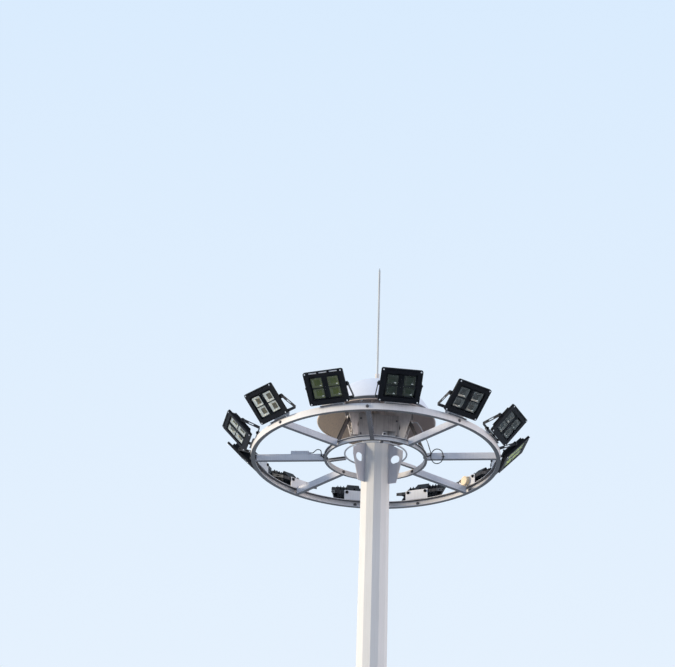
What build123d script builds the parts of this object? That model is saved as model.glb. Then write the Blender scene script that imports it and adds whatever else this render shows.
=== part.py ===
from build123d import *
import os
from math import atan2, cos, degrees, radians, sin, sqrt

# High mast floodlight tower with a lamp carriage that is lowered on ropes.
# The origin is at the centre of the base flange's underside, +Z is up, lengths are in mm.

# Mast tube
mast_height = 20000
mast_sides = 12
facet_turn = 12
base_across_flats = 445
taper = 0.0096
lower_length = 10400
slip_overlap = 600
lower_wall = 6
upper_wall = 4
seat_gap = 0.3

# Base flange and its gussets
flange_diameter = 780
flange_thickness = 30
anchor_circle = 660
anchor_hole = 36
anchor_count = 12
cable_entry = 280
gusset_height = 260
gusset_toe = 25
gusset_thickness = 12
gusset_edge_margin = 22

# Door of the winch compartment
door_azimuth = 282
door_width = 240
door_height = 1000
door_sill = 600
door_corner = 60
door_frame_band = 12
door_frame_proud = 8
door_frame_depth = 36
door_gap = 3
door_thickness = 5
door_stop_cover = 12
door_stop_thickness = 6
door_lock_diameter = 34
door_lock_proud = 9
door_lock_inset = 260

# Head of the mast
carriage_drop = 420
head_plate_thickness = 12
head_post_diameter = 60
head_post_wall = 4
rope_diameter = 8
rope_radius = 341
pulley_pitch_radius = 126
pulley_rim_height = 10
pulley_width = 22
pulley_web = 8
pulley_hub_diameter = 56
pulley_rim_depth = 22
pulley_holes = 5
pulley_hole_diameter = 36
pulley_pin_reach = 2
pulley_pin_diameter = 20
pulley_over_plate = 138
bracket_thickness = 6
bracket_offset = 24
bracket_inner_radius = 100
bracket_outer_radius = 372
bracket_top_over_pin = 60
bracket_foot_height = 180
bracket_foot_rise = 40
bracket_foot_radius = 300
bracket_window = 54
bracket_window_radius = 232
bracket_window_drop = 118
latch_thickness = 8
latch_inner_radius = 270
latch_outer_radius = 314
latch_tooth = 14
latch_teeth = 5
latch_bottom = 190
latch_top = 392
latch_block_height = 34
latch_eye_radius = 215
latch_eye_rise = 240
latch_eye_diameter = 62
latch_eye_hole = 24
latch_eye_neck = 30
head_panel_distance = 150
head_panel_thickness = 4
head_panel_foot = 165
head_panel_window = (115, 66)
head_panel_window_shift = 105
head_panel_window_rise = 24

# Centring fins
fin_thickness = 8
fin_reach = 279
fin_bottom_reach = 215
fin_top_rise = 90
fin_shoulder = 70
fin_drop = 330
fin_hole = 90
fin_hole_radius = 202
fin_hole_drop = 85

# Hood and lightning rod
hood_rim_radius = 570
hood_rim_height = 400
hood_height = 405
hood_shoulder_radius = 490
hood_shoulder_height = 150
hood_haunch_radius = 320
hood_haunch_height = 320
hood_top_radius = 115
hood_thickness = 3
hood_rim_bead = 14
rod_flange_diameter = 150
rod_flange_thickness = 8
rod_socket_diameter = 42
rod_socket_height = 110
rod_diameter = 20
rod_length = 1210
rod_seat = 60

# Lamp carriage rings and spokes
ring_radius = 1210
ring_height = 65
ring_depth = 40
ring_wall = 5
inner_ring_radius = 500
inner_ring_height = 50
inner_ring_depth = 25
inner_ring_wall = 4
spoke_count = 8
spoke_turn = -1.5
spoke_depth = 40
hoop_radius = 300
hoop_tube = 16
hoop_arm_height = 30
hoop_arm_depth = 30
hoop_arm_wall = 3

# Hangers that carry the carriage on the ropes
hanger_thickness = 6
hanger_spread = 12
hanger_width = 32
hanger_height = 368
hanger_foot_inset = 2
anchor_block_height = 44
anchor_block_length = 40

# Lamp mounts
lamp_count = 12
mount_width = 230
mount_thickness = 5
mount_rise = 95
mount_overhang = 12
mount_hole = 13
mount_hole_spacing = 180
strap_thickness = 5
strap_width = 30
strap_level = 78
strap_boss = 16
strap_slot_length = 52
strap_slot_width = 11
pivot_bolt = 10
pivot_gap = 0.3
pivot_head = 18
pivot_head_height = 6

# Floodlight
lamp_tilt = 43.5
lamp_face_overhang = 160
lamp_face_height = 182
lamp_width = 400
lamp_height = 335
lamp_corner = 18
bezel_thickness = 22
glass_width = 306
glass_height = 236
glass_corner = 6
glass_recess = 7
glass_thickness = 4
bezel_slot_length = 82
bezel_slot_width = 15
bezel_slot_depth = 6
bezel_slot_pitch = 104
bezel_slot_inset = 15
bezel_screw_diameter = 14
bezel_screw_inset = 20
bezel_screw_height = 2
module_width = 108
module_height = 98
module_pitch_across = 164
module_pitch_up = 107
module_depth = 15
module_taper = 38
body_width = 330
body_height = 250
body_corner = 14
body_depth = 24
sink_width = 300
sink_height = 220
sink_depth = 20
sink_fins = 11
sink_fin_thickness = 5
driver_width = 120
driver_height = 170
driver_depth = 46
pivot_depth = 42
lug_diameter = 44
gland_diameter = 18
gland_length = 22
lamp_side_gap = 8

# Junction box on a spoke
box_length = 176
box_width = 34
box_height = 34
box_inner_radius = 650
box_corner = 6
box_knob_diameter = 14
box_knob_height = 7
box_knob_inset = 45
box_gland_rise = 18

# Round box on a lamp mount
round_box_lamp = 1
round_box_diameter = 88
round_box_depth = 30
round_box_lid_diameter = 94
round_box_lid_depth = 12
round_box_rise = 48
round_box_spouts = 4
round_box_spout_diameter = 16
round_box_spout_reach = 9

# Leads that are tied to the carriage
lead_diameter = 9
lead_gland_diameter = 18
lead_gland_length = 20
lead_loop_radius = 597
lead_loop_width = 126
lead_loop_height = 168
lead_loop_rise = 24
lead_loop_lift = 11.5
lead_loop_steps = 9
lead_loop_bend = 56
lead_bend = 36

# Values worked out from the driving dimensions
facet_step = 360 / mast_sides
ring_level = mast_height - carriage_drop
fin_azimuths = [facet_turn + facet_step * step for step in (3, 7, 11)]
arm_azimuths = [facet_turn + facet_step * step for step in (1, 5, 9)]
lamp_azimuths = [facet_turn + 360 / lamp_count * step for step in range(lamp_count)]
spoke_azimuths = [spoke_turn + 360 / spoke_count * step for step in range(spoke_count)]
ring_inner_radius = ring_radius - ring_depth
ring_top = ring_level + ring_height
inner_ring_top = ring_level + inner_ring_height
hood_rim_level = ring_level + hood_rim_height
hood_top_level = hood_rim_level + hood_height
head_plate_top = mast_height + head_plate_thickness
pulley_radius = rope_radius - pulley_pitch_radius
pulley_level = head_plate_top + pulley_over_plate
hoop_level = inner_ring_top + hoop_arm_height / 2
sleeve_growth = 2 * (upper_wall + seat_gap)
strap_inner = lamp_width / 2 + lamp_side_gap
strap_seat = ring_inner_radius
lamp_face_radius = ring_radius + lamp_face_overhang
pivot_radius = lamp_face_radius - pivot_depth * cos(radians(lamp_tilt))
pivot_level = ring_level + lamp_face_height + pivot_depth * sin(radians(lamp_tilt))


def lower_width(height):
    """Outer width across flats of the lower tube at a height."""
    return base_across_flats - taper * height


def upper_width(height):
    """Outer width across flats of the upper tube, which slips over the lower one."""
    return lower_width(height) + sleeve_growth


def mast_outline(width):
    """Many-sided outline of the mast, with the middle of a facet at facet_turn."""
    vertex_turn = facet_turn + facet_step / 2
    RegularPolygon(width / 2, mast_sides, major_radius=False, rotation=vertex_turn)


def radial_plane(azimuth, offset=0):
    """Upright plane through the mast's axis: local x runs outwards and local y up."""
    turn = radians(azimuth)
    side = (sin(turn), -cos(turn), 0)
    plane = Plane(origin=(0, 0, 0), x_dir=(cos(turn), sin(turn), 0), z_dir=side)
    return plane.offset(offset)


def outward_plane(azimuth, radius, height):
    """Upright plane that faces outwards: local x runs round the mast and local y up."""
    turn = radians(azimuth)
    outward = (cos(turn), sin(turn), 0)
    origin = (radius * cos(turn), radius * sin(turn), height)
    return Plane(origin=origin, x_dir=(-sin(turn), cos(turn), 0), z_dir=outward)


def channel_profile(depth, height, wall):
    """Channel with its web at local x = 0, its foot at y = 0 and its mouth towards +x."""
    Rectangle(depth, height, align=(Align.MIN, Align.MIN))
    with Locations((wall, wall)):
        Rectangle(depth, height - 2 * wall, align=(Align.MIN, Align.MIN), mode=Mode.SUBTRACT)


def save(part, name):
    """Label a finished part and write it as one STEP file."""
    part.label = name
    export_step(part, f"parts/{name}.step")


os.makedirs("parts", exist_ok=True)


# Base flange with anchor holes and a cable entry
with BuildPart() as base_flange:
    with BuildSketch():
        Circle(flange_diameter / 2)
        Circle(cable_entry / 2, mode=Mode.SUBTRACT)
        first_hole = facet_turn + facet_step / 2
        with PolarLocations(anchor_circle / 2, anchor_count, start_angle=first_hole):
            Circle(anchor_hole / 2, mode=Mode.SUBTRACT)
    extrude(amount=flange_thickness)
save(base_flange.part, "base_flange")

# Triangular gussets between the anchor holes
with BuildPart() as base_gussets:
    gusset_top = flange_thickness + gusset_height
    gusset_edge = flange_diameter / 2 - gusset_edge_margin
    for step in range(mast_sides):
        with BuildSketch(radial_plane(facet_turn + facet_step * step)):
            with BuildLine():
                Polyline(
                    (lower_width(flange_thickness) / 2, flange_thickness),
                    (gusset_edge, flange_thickness),
                    (gusset_edge, flange_thickness + gusset_toe),
                    (lower_width(gusset_top) / 2 + gusset_toe, gusset_top),
                    (lower_width(gusset_top) / 2, gusset_top),
                    close=True,
                )
            make_face()
        extrude(amount=gusset_thickness / 2, both=True)
save(base_gussets.part, "base_gussets")

# Lower mast tube with its door opening
door_middle = door_sill + door_height / 2
door_plane = outward_plane(door_azimuth, 0, door_middle)
with BuildPart() as mast_lower_section:
    for height in (flange_thickness, lower_length):
        with BuildSketch(Plane.XY.offset(height)):
            mast_outline(lower_width(height))
    loft()
    for height in (flange_thickness, lower_length):
        with BuildSketch(Plane.XY.offset(height)):
            mast_outline(lower_width(height) - 2 * lower_wall)
    loft(mode=Mode.SUBTRACT)
    with BuildSketch(door_plane):
        RectangleRounded(door_width, door_height, door_corner)
    extrude(amount=base_across_flats, mode=Mode.SUBTRACT)
save(mast_lower_section.part, "mast_lower_section")

# Door frame that lines the opening and follows the facets
frame_width = door_width - 2 * seat_gap
frame_height = door_height - 2 * seat_gap
frame_corner = door_corner - seat_gap
frame_levels = (door_sill, door_sill + door_height)
with BuildPart() as door_frame:
    for height in frame_levels:
        with BuildSketch(Plane.XY.offset(height)):
            mast_outline(lower_width(height) + 2 * door_frame_proud)
    loft()
    for height in frame_levels:
        with BuildSketch(Plane.XY.offset(height)):
            mast_outline(lower_width(height) - 2 * door_frame_depth)
    loft(mode=Mode.SUBTRACT)
    with BuildSketch(door_plane):
        RectangleRounded(frame_width, frame_height, frame_corner)
        RectangleRounded(
            frame_width - 2 * door_frame_band,
            frame_height - 2 * door_frame_band,
            frame_corner - door_frame_band,
            mode=Mode.SUBTRACT,
        )
    extrude(amount=base_across_flats, mode=Mode.INTERSECT)
save(door_frame.part, "door_frame")

# Stop strip inside the frame, behind the leaf
stop_width = frame_width - 2 * door_frame_band
stop_height = frame_height - 2 * door_frame_band
stop_corner = frame_corner - door_frame_band
stop_front = door_thickness + seat_gap
stop_band = door_gap + door_stop_cover
with BuildPart() as door_stop:
    for height in frame_levels:
        with BuildSketch(Plane.XY.offset(height)):
            mast_outline(lower_width(height) - 2 * stop_front)
    loft()
    for height in frame_levels:
        with BuildSketch(Plane.XY.offset(height)):
            mast_outline(lower_width(height) - 2 * (stop_front + door_stop_thickness))
    loft(mode=Mode.SUBTRACT)
    with BuildSketch(door_plane):
        RectangleRounded(stop_width, stop_height, stop_corner)
        RectangleRounded(
            stop_width - 2 * stop_band,
            stop_height - 2 * stop_band,
            stop_corner - stop_band,
            mode=Mode.SUBTRACT,
        )
    extrude(amount=base_across_flats, mode=Mode.INTERSECT)
save(door_stop.part, "door_stop")

# Door leaf, flush with the mast's facets, with two locks
leaf_width = stop_width - 2 * door_gap
leaf_height = stop_height - 2 * door_gap
with BuildPart() as door_leaf:
    for height in frame_levels:
        with BuildSketch(Plane.XY.offset(height)):
            mast_outline(lower_width(height))
    loft()
    for height in frame_levels:
        with BuildSketch(Plane.XY.offset(height)):
            mast_outline(lower_width(height) - 2 * door_thickness)
    loft(mode=Mode.SUBTRACT)
    with BuildSketch(door_plane):
        RectangleRounded(leaf_width, leaf_height, stop_corner - door_gap)
    extrude(amount=base_across_flats, mode=Mode.INTERSECT)
    with BuildSketch(door_plane.offset(lower_width(door_middle) / 2 - door_thickness)):
        with GridLocations(0, leaf_height - door_lock_inset, 1, 2):
            Circle(door_lock_diameter / 2)
    extrude(amount=door_thickness + door_lock_proud)
save(door_leaf.part, "door_leaf")

# Upper mast tube, slipped over the lower one
upper_foot = lower_length - slip_overlap
with BuildPart() as mast_upper_section:
    for height in (upper_foot, mast_height):
        with BuildSketch(Plane.XY.offset(height)):
            mast_outline(upper_width(height))
    loft()
    for height in (upper_foot, mast_height):
        with BuildSketch(Plane.XY.offset(height)):
            mast_outline(upper_width(height) - 2 * upper_wall)
    loft(mode=Mode.SUBTRACT)
save(mast_upper_section.part, "mast_upper_section")

# Centring fins that steer the guide hoop onto the mast's axis
with BuildPart() as centring_fins:
    fin_top = hoop_level + fin_top_rise
    fin_foot = hoop_level - fin_drop
    for azimuth in fin_azimuths:
        with BuildSketch(radial_plane(azimuth)):
            with BuildLine():
                Polyline(
                    (upper_width(fin_top) / 2, fin_top),
                    (fin_reach, hoop_level),
                    (fin_reach, hoop_level - fin_shoulder),
                    (fin_bottom_reach, fin_foot),
                    (upper_width(fin_foot) / 2, fin_foot),
                    close=True,
                )
            make_face()
            with Locations((fin_hole_radius, hoop_level - fin_hole_drop)):
                Circle(fin_hole / 2, mode=Mode.SUBTRACT)
        extrude(amount=fin_thickness / 2, both=True)
save(centring_fins.part, "centring_fins")

# Head plate on the mast's top, with holes for the ropes
head_width = upper_width(mast_height)
with BuildPart() as head_plate:
    with BuildSketch(Plane.XY.offset(mast_height)):
        mast_outline(head_width)
        rope_hole_circle = pulley_radius - pulley_pitch_radius
        with PolarLocations(rope_hole_circle, len(fin_azimuths), start_angle=fin_azimuths[0]):
            Circle(pulley_width, mode=Mode.SUBTRACT)
    extrude(amount=head_plate_thickness)
save(head_plate.part, "head_plate")

# Pairs of bracket plates that hold the pulleys
with BuildPart() as head_brackets:
    bracket_top = pulley_level + bracket_top_over_pin
    bracket_foot = ring_level + bracket_foot_height
    for azimuth in fin_azimuths:
        for side in (-1, 1):
            near_face = side * (bracket_offset + bracket_thickness / 2)
            with BuildSketch(radial_plane(azimuth, near_face)):
                with BuildLine():
                    Polyline(
                        (bracket_inner_radius, head_plate_top),
                        (head_width / 2, head_plate_top),
                        (head_width / 2, mast_height),
                        (upper_width(bracket_foot) / 2, bracket_foot + bracket_foot_rise),
                        (bracket_foot_radius, bracket_foot),
                        (bracket_outer_radius, hood_rim_level),
                        (bracket_outer_radius, pulley_level),
                        (bracket_foot_radius, bracket_top),
                        (bracket_inner_radius, bracket_top),
                        close=True,
                    )
                make_face()
                with Locations((pulley_radius, pulley_level)):
                    Circle(pulley_pin_diameter / 2 + seat_gap, mode=Mode.SUBTRACT)
                with Locations((bracket_window_radius, mast_height - bracket_window_drop)):
                    RectangleRounded(bracket_window, bracket_window, bracket_window / 4, mode=Mode.SUBTRACT)
            extrude(amount=bracket_thickness / 2, both=True)
save(head_brackets.part, "head_brackets")

# Grooved rope pulleys with a thin web, lightening holes and a hub
with BuildPart() as head_pulleys:
    groove_floor = pulley_pitch_radius - rope_diameter / 2 - seat_gap
    rim = pulley_pitch_radius + pulley_rim_height
    rim_foot = rim - pulley_rim_depth
    hub = pulley_hub_diameter / 2
    bore = pulley_pin_diameter / 2 + seat_gap
    hole_circle = (hub + rim_foot) / 2
    for azimuth in fin_azimuths:
        upright = radial_plane(azimuth)
        centre = upright.from_local_coords((pulley_radius, pulley_level, 0))
        section = Plane(origin=centre, x_dir=(0, 0, 1), z_dir=upright.x_dir)
        with BuildSketch(section):
            with BuildLine():
                Polyline(
                    (bore, -pulley_width / 2),
                    (hub, -pulley_width / 2),
                    (hub, -pulley_web / 2),
                    (rim_foot, -pulley_web / 2),
                    (rim_foot, -pulley_width / 2),
                    (rim, -pulley_width / 2),
                    (groove_floor, -rope_diameter / 2),
                    (groove_floor, rope_diameter / 2),
                    (rim, pulley_width / 2),
                    (rim_foot, pulley_width / 2),
                    (rim_foot, pulley_web / 2),
                    (hub, pulley_web / 2),
                    (hub, pulley_width / 2),
                    (bore, pulley_width / 2),
                    close=True,
                )
            make_face()
        revolve(axis=Axis(centre, upright.z_dir))
        with BuildSketch(upright):
            with Locations((pulley_radius, pulley_level)):
                with PolarLocations(hole_circle, pulley_holes):
                    Circle(pulley_hole_diameter / 2)
        extrude(amount=pulley_web, both=True, mode=Mode.SUBTRACT)
save(head_pulleys.part, "head_pulleys")

# Panels between the brackets that close the head's front, each with a window near its foot
with BuildPart() as head_panels:
    panel_foot = ring_level + head_panel_foot
    bracket_face = bracket_offset + bracket_thickness
    panel_outer = head_panel_distance
    panel_inner = head_panel_distance - head_panel_thickness
    # A bracket's face stands at 60 degrees to the panel, so the panel's ends are cut to it
    outer_reach = sqrt(3) * panel_outer - 2 * bracket_face - seat_gap
    inner_reach = sqrt(3) * panel_inner - 2 * bracket_face - seat_gap
    window_width, window_height = head_panel_window
    window_level = panel_foot + head_panel_window_rise + window_height / 2
    for azimuth in arm_azimuths:
        turn = radians(azimuth)
        plan = Plane(origin=(0, 0, panel_foot), x_dir=(cos(turn), sin(turn), 0), z_dir=(0, 0, 1))
        with BuildSketch(plan):
            with BuildLine():
                Polyline(
                    (panel_inner, -inner_reach),
                    (panel_outer, -outer_reach),
                    (panel_outer, outer_reach),
                    (panel_inner, inner_reach),
                    close=True,
                )
            make_face()
        extrude(amount=mast_height - panel_foot)
        with BuildSketch(outward_plane(azimuth, panel_outer, window_level)):
            with Locations((head_panel_window_shift, 0)):
                Rectangle(window_width, window_height)
        extrude(amount=-2 * head_panel_thickness, mode=Mode.SUBTRACT)
save(head_panels.part, "head_panels")

# Pins of the pulleys
with BuildPart() as pulley_pins:
    pin_reach = bracket_offset + bracket_thickness + pulley_pin_reach
    for azimuth in fin_azimuths:
        with BuildSketch(radial_plane(azimuth)):
            with Locations((pulley_radius, pulley_level)):
                Circle(pulley_pin_diameter / 2)
        extrude(amount=pin_reach, both=True)
save(pulley_pins.part, "pulley_pins")

# Toothed latch plates that hang from a block between each pair of brackets, each with an eye
with BuildPart() as latch_plates:
    latch_width = latch_outer_radius - latch_inner_radius
    latch_middle = (latch_inner_radius + latch_outer_radius) / 2
    tooth_pitch = (latch_top - latch_block_height - latch_bottom) / latch_teeth
    for azimuth in fin_azimuths:
        with BuildSketch(radial_plane(azimuth)):
            with Locations((latch_middle, ring_level + latch_bottom)):
                Rectangle(latch_width, latch_top - latch_bottom, align=(Align.CENTER, Align.MIN))
            with Locations((latch_eye_radius, ring_level + latch_eye_rise)):
                neck_length = latch_middle - latch_eye_radius
                Rectangle(neck_length, latch_eye_neck, align=(Align.MIN, Align.CENTER))
                Circle(latch_eye_diameter / 2)
                Circle(latch_eye_hole / 2, mode=Mode.SUBTRACT)
            for tooth in range(latch_teeth):
                notch_level = ring_level + latch_bottom + tooth_pitch * (tooth + 0.5)
                with BuildLine():
                    Polyline(
                        (latch_outer_radius, notch_level),
                        (latch_outer_radius - latch_tooth, notch_level + latch_tooth),
                        (latch_outer_radius, notch_level + latch_tooth),
                        close=True,
                    )
                make_face(mode=Mode.SUBTRACT)
        extrude(amount=latch_thickness / 2, both=True)
        with BuildSketch(radial_plane(azimuth)):
            with Locations((latch_middle, ring_level + latch_top)):
                Rectangle(latch_width, latch_block_height, align=(Align.CENTER, Align.MAX))
        extrude(amount=bracket_offset, both=True)
save(latch_plates.part, "latch_plates")

# Post that carries the hood and the rod
with BuildPart() as head_post:
    with BuildSketch(Plane.XY.offset(head_plate_top)):
        Circle(head_post_diameter / 2)
        Circle(head_post_diameter / 2 - head_post_wall, mode=Mode.SUBTRACT)
    extrude(amount=hood_top_level - hood_thickness - head_plate_top)
save(head_post.part, "head_post")

# Domed hood, a thin shell with a beaded rim
with BuildPart() as hood:
    for shrink, mode in ((0, Mode.ADD), (hood_thickness, Mode.SUBTRACT)):
        with BuildSketch(Plane.XZ):
            with BuildLine():
                Spline(
                    (hood_top_radius, hood_top_level - shrink),
                    (hood_haunch_radius - shrink, hood_rim_level + hood_haunch_height - shrink),
                    (hood_shoulder_radius - shrink, hood_rim_level + hood_shoulder_height),
                    (hood_rim_radius - shrink, hood_rim_level),
                )
                Polyline(
                    (hood_rim_radius - shrink, hood_rim_level),
                    (0, hood_rim_level),
                    (0, hood_top_level - shrink),
                    (hood_top_radius, hood_top_level - shrink),
                )
            make_face()
        revolve(axis=Axis.Z, mode=mode)
    with BuildSketch(Plane.XZ):
        with Locations((hood_rim_radius, hood_rim_level)):
            Circle(hood_rim_bead / 2)
    revolve(axis=Axis.Z)
save(hood.part, "hood")

# Rod socket on the hood's top
with BuildPart() as rod_socket:
    with BuildSketch(Plane.XY.offset(hood_top_level)):
        Circle(rod_flange_diameter / 2)
    extrude(amount=rod_flange_thickness)
    with BuildSketch(Plane.XY.offset(hood_top_level + rod_flange_thickness)):
        Circle(rod_socket_diameter / 2)
    extrude(amount=rod_socket_height - rod_flange_thickness)
    with BuildSketch(Plane.XY.offset(hood_top_level + rod_socket_height)):
        Circle(rod_diameter / 2 + seat_gap)
    extrude(amount=-rod_seat, mode=Mode.SUBTRACT)
save(rod_socket.part, "rod_socket")

# Lightning rod with a pointed tip
rod_foot = hood_top_level + rod_socket_height - rod_seat
with BuildPart() as lightning_rod:
    with BuildSketch(Plane.XY.offset(rod_foot)):
        Circle(rod_diameter / 2)
    extrude(amount=rod_length)
    chamfer(lightning_rod.edges().sort_by(Axis.Z)[-1], length=rod_diameter * 2, length2=rod_diameter / 3)
save(lightning_rod.part, "lightning_rod")

# Outer lamp ring, a rolled channel with its mouth inwards
with BuildPart() as outer_ring:
    with BuildSketch(Plane.XZ):
        with Locations(Location((ring_radius, ring_top), 180)):
            channel_profile(ring_depth, ring_height, ring_wall)
    revolve(axis=Axis.Z)
save(outer_ring.part, "outer_ring")

# Inner ring, a smaller channel with its mouth outwards
with BuildPart() as inner_ring:
    with BuildSketch(Plane.XZ):
        with Locations((inner_ring_radius - inner_ring_depth, ring_level)):
            channel_profile(inner_ring_depth, inner_ring_height, inner_ring_wall)
    revolve(axis=Axis.Z)
save(inner_ring.part, "inner_ring")

# Spokes between the two rings
with BuildPart() as spokes:
    half_width = spoke_depth / 2
    spoke_start = inner_ring_radius + seat_gap
    spoke_end = sqrt(ring_inner_radius**2 - half_width**2) - seat_gap
    for azimuth in spoke_azimuths:
        with BuildSketch(outward_plane(azimuth, spoke_start, ring_level)):
            with Locations((-half_width, 0)):
                channel_profile(spoke_depth, ring_height, ring_wall)
        extrude(amount=spoke_end - spoke_start)
save(spokes.part, "spokes")

# Guide hoop round the mast
with BuildPart() as guide_hoop:
    with BuildSketch(Plane.XZ):
        with Locations((hoop_radius, hoop_level)):
            Circle(hoop_tube / 2)
    revolve(axis=Axis.Z)
save(guide_hoop.part, "guide_hoop")

# Short arms from the inner ring to the guide hoop
with BuildPart() as hoop_arms:
    arm_start = hoop_radius + hoop_tube / 2 + seat_gap
    for azimuth in arm_azimuths:
        with BuildSketch(outward_plane(azimuth, arm_start, inner_ring_top)):
            with Locations((-hoop_arm_depth / 2, 0)):
                channel_profile(hoop_arm_depth, hoop_arm_height, hoop_arm_wall)
        extrude(amount=inner_ring_radius - arm_start)
save(hoop_arms.part, "hoop_arms")

# Pairs of inclined hanger bars
hanger_foot_radius = inner_ring_radius - hanger_foot_inset
hanger_top = ring_level + hanger_height
hanger_head_radius = rope_radius + hanger_width / 2
with BuildPart() as hanger_arms:
    for azimuth in fin_azimuths:
        for side in (-1, 1):
            bar_face = side * (hanger_spread + hanger_thickness / 2)
            with BuildSketch(radial_plane(azimuth, bar_face)):
                with BuildLine():
                    Polyline(
                        (hanger_foot_radius - hanger_width, inner_ring_top),
                        (hanger_foot_radius, inner_ring_top),
                        (hanger_head_radius, hanger_top),
                        (hanger_head_radius - hanger_width, hanger_top),
                        close=True,
                    )
                make_face()
            extrude(amount=hanger_thickness / 2, both=True)
save(hanger_arms.part, "hanger_arms")

# Blocks between the hanger bars, where the ropes end
with BuildPart() as rope_anchors:
    for azimuth in fin_azimuths:
        with BuildSketch(radial_plane(azimuth)):
            with Locations((rope_radius, hanger_top)):
                Rectangle(anchor_block_length, anchor_block_height, align=(Align.CENTER, Align.MAX))
        extrude(amount=hanger_spread, both=True)
    # Gland on the right block, where the supply lead comes out
    gland_seat = rope_radius + anchor_block_length / 2
    gland_level = hanger_top - anchor_block_height / 2
    with BuildSketch(outward_plane(fin_azimuths[2], gland_seat, gland_level)):
        RegularPolygon(lead_gland_diameter / 2, 6)
    extrude(amount=lead_gland_length)
save(rope_anchors.part, "rope_anchors")

# Hoist ropes from the pulleys to the anchor blocks
with BuildPart() as hoist_ropes:
    with BuildSketch(Plane.XY.offset(hanger_top)):
        with PolarLocations(rope_radius, len(fin_azimuths), start_angle=fin_azimuths[0]):
            Circle(rope_diameter / 2)
    extrude(amount=pulley_level - hanger_top)
save(hoist_ropes.part, "hoist_ropes")

# Angle mounts that stand on the outer ring, one for each floodlight
with BuildPart() as lamp_mounts:
    mount_depth = ring_depth + mount_thickness + mount_overhang
    for azimuth in lamp_azimuths:
        with BuildSketch(outward_plane(azimuth, ring_inner_radius - mount_thickness, ring_top)):
            Rectangle(mount_width, mount_thickness + mount_rise, align=(Align.CENTER, Align.MIN))
            with Locations((0, strap_level)):
                with GridLocations(mount_hole_spacing, 0, 2, 1):
                    Circle(mount_hole / 2, mode=Mode.SUBTRACT)
        extrude(amount=mount_thickness)
        with BuildSketch(outward_plane(azimuth, ring_inner_radius, ring_top)):
            Rectangle(mount_width, mount_thickness, align=(Align.CENTER, Align.MIN))
        extrude(amount=mount_depth - mount_thickness)
save(lamp_mounts.part, "lamp_mounts")

# U-shaped straps that hold the floodlights at their pivots
strap_middle = ring_top + strap_level
strap_end = strap_inner + strap_thickness
with BuildPart() as lamp_straps:
    for azimuth in lamp_azimuths:
        with BuildSketch(outward_plane(azimuth, strap_seat, strap_middle)):
            Rectangle(2 * strap_end, strap_width)
            with GridLocations(mount_hole_spacing, 0, 2, 1):
                Circle(mount_hole / 2, mode=Mode.SUBTRACT)
        extrude(amount=strap_thickness)
        for side in (-1, 1):
            arm_face = side * (strap_inner + strap_thickness / 2)
            with BuildSketch(radial_plane(azimuth, arm_face)):
                with BuildLine():
                    Polyline(
                        (strap_seat, strap_middle - strap_width / 2),
                        (pivot_radius, pivot_level - strap_boss),
                        (pivot_radius, pivot_level + strap_boss),
                        (strap_seat, strap_middle + strap_width / 2),
                        close=True,
                    )
                make_face()
                with Locations((pivot_radius, pivot_level)):
                    Circle(strap_boss)
                    Circle(pivot_bolt / 2 + pivot_gap, mode=Mode.SUBTRACT)
                slot_turn = degrees(atan2(pivot_level - strap_middle, pivot_radius - strap_seat))
                slot_radius = (strap_seat + pivot_radius) / 2
                slot_level = (strap_middle + pivot_level) / 2
                with Locations(Location((slot_radius, slot_level), slot_turn)):
                    SlotOverall(strap_slot_length, strap_slot_width, mode=Mode.SUBTRACT)
            extrude(amount=strap_thickness / 2, both=True)
save(lamp_straps.part, "lamp_straps")

# Junction box on the left spoke
with BuildPart() as junction_box:
    box_azimuth = spoke_azimuths[4]
    with BuildSketch(outward_plane(box_azimuth, box_inner_radius, ring_top)):
        Rectangle(box_width, box_height, align=(Align.CENTER, Align.MIN))
    extrude(amount=box_length)
    fillet(junction_box.edges().filter_by(Axis.Z), box_corner)
    with BuildSketch(Plane.XY.offset(ring_top + box_height)):
        with PolarLocations(box_inner_radius + box_length - box_knob_inset, 1, start_angle=box_azimuth):
            Circle(box_knob_diameter / 2)
    extrude(amount=box_knob_height)
    with BuildSketch(outward_plane(box_azimuth, box_inner_radius, ring_top + box_gland_rise)):
        RegularPolygon(lead_gland_diameter / 2, 6)
    extrude(amount=-lead_gland_length)
save(junction_box.part, "junction_box")

# Round box with four spouts on the inner face of one lamp mount
with BuildPart() as round_box:
    round_azimuth = lamp_azimuths[round_box_lamp]
    round_middle = ring_top + round_box_rise
    round_back = ring_inner_radius - mount_thickness
    with BuildSketch(outward_plane(round_azimuth, round_back, round_middle)):
        Circle(round_box_diameter / 2)
    extrude(amount=-round_box_depth)
    round_front = outward_plane(round_azimuth, round_back - round_box_depth, round_middle)
    with BuildSketch(round_front):
        Circle(round_box_lid_diameter / 2)
    extrude(amount=-round_box_lid_depth)
    lid_face = round_box.faces().sort_by(Axis((0, 0, 0), round_front.z_dir))[0]
    fillet(lid_face.edges(), round_box_lid_depth / 2)
    round_core = round_front.offset(round_box_depth / 2)
    for spout in range(round_box_spouts):
        spout_turn = radians(360 / round_box_spouts * (spout + 0.5))
        spout_axis = round_core.x_dir * cos(spout_turn) + round_core.y_dir * sin(spout_turn)
        with BuildSketch(Plane(origin=round_core.origin, z_dir=spout_axis)):
            Circle(round_box_spout_diameter / 2)
        extrude(amount=round_box_diameter / 2 + round_box_spout_reach)
save(round_box.part, "round_box")

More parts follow.
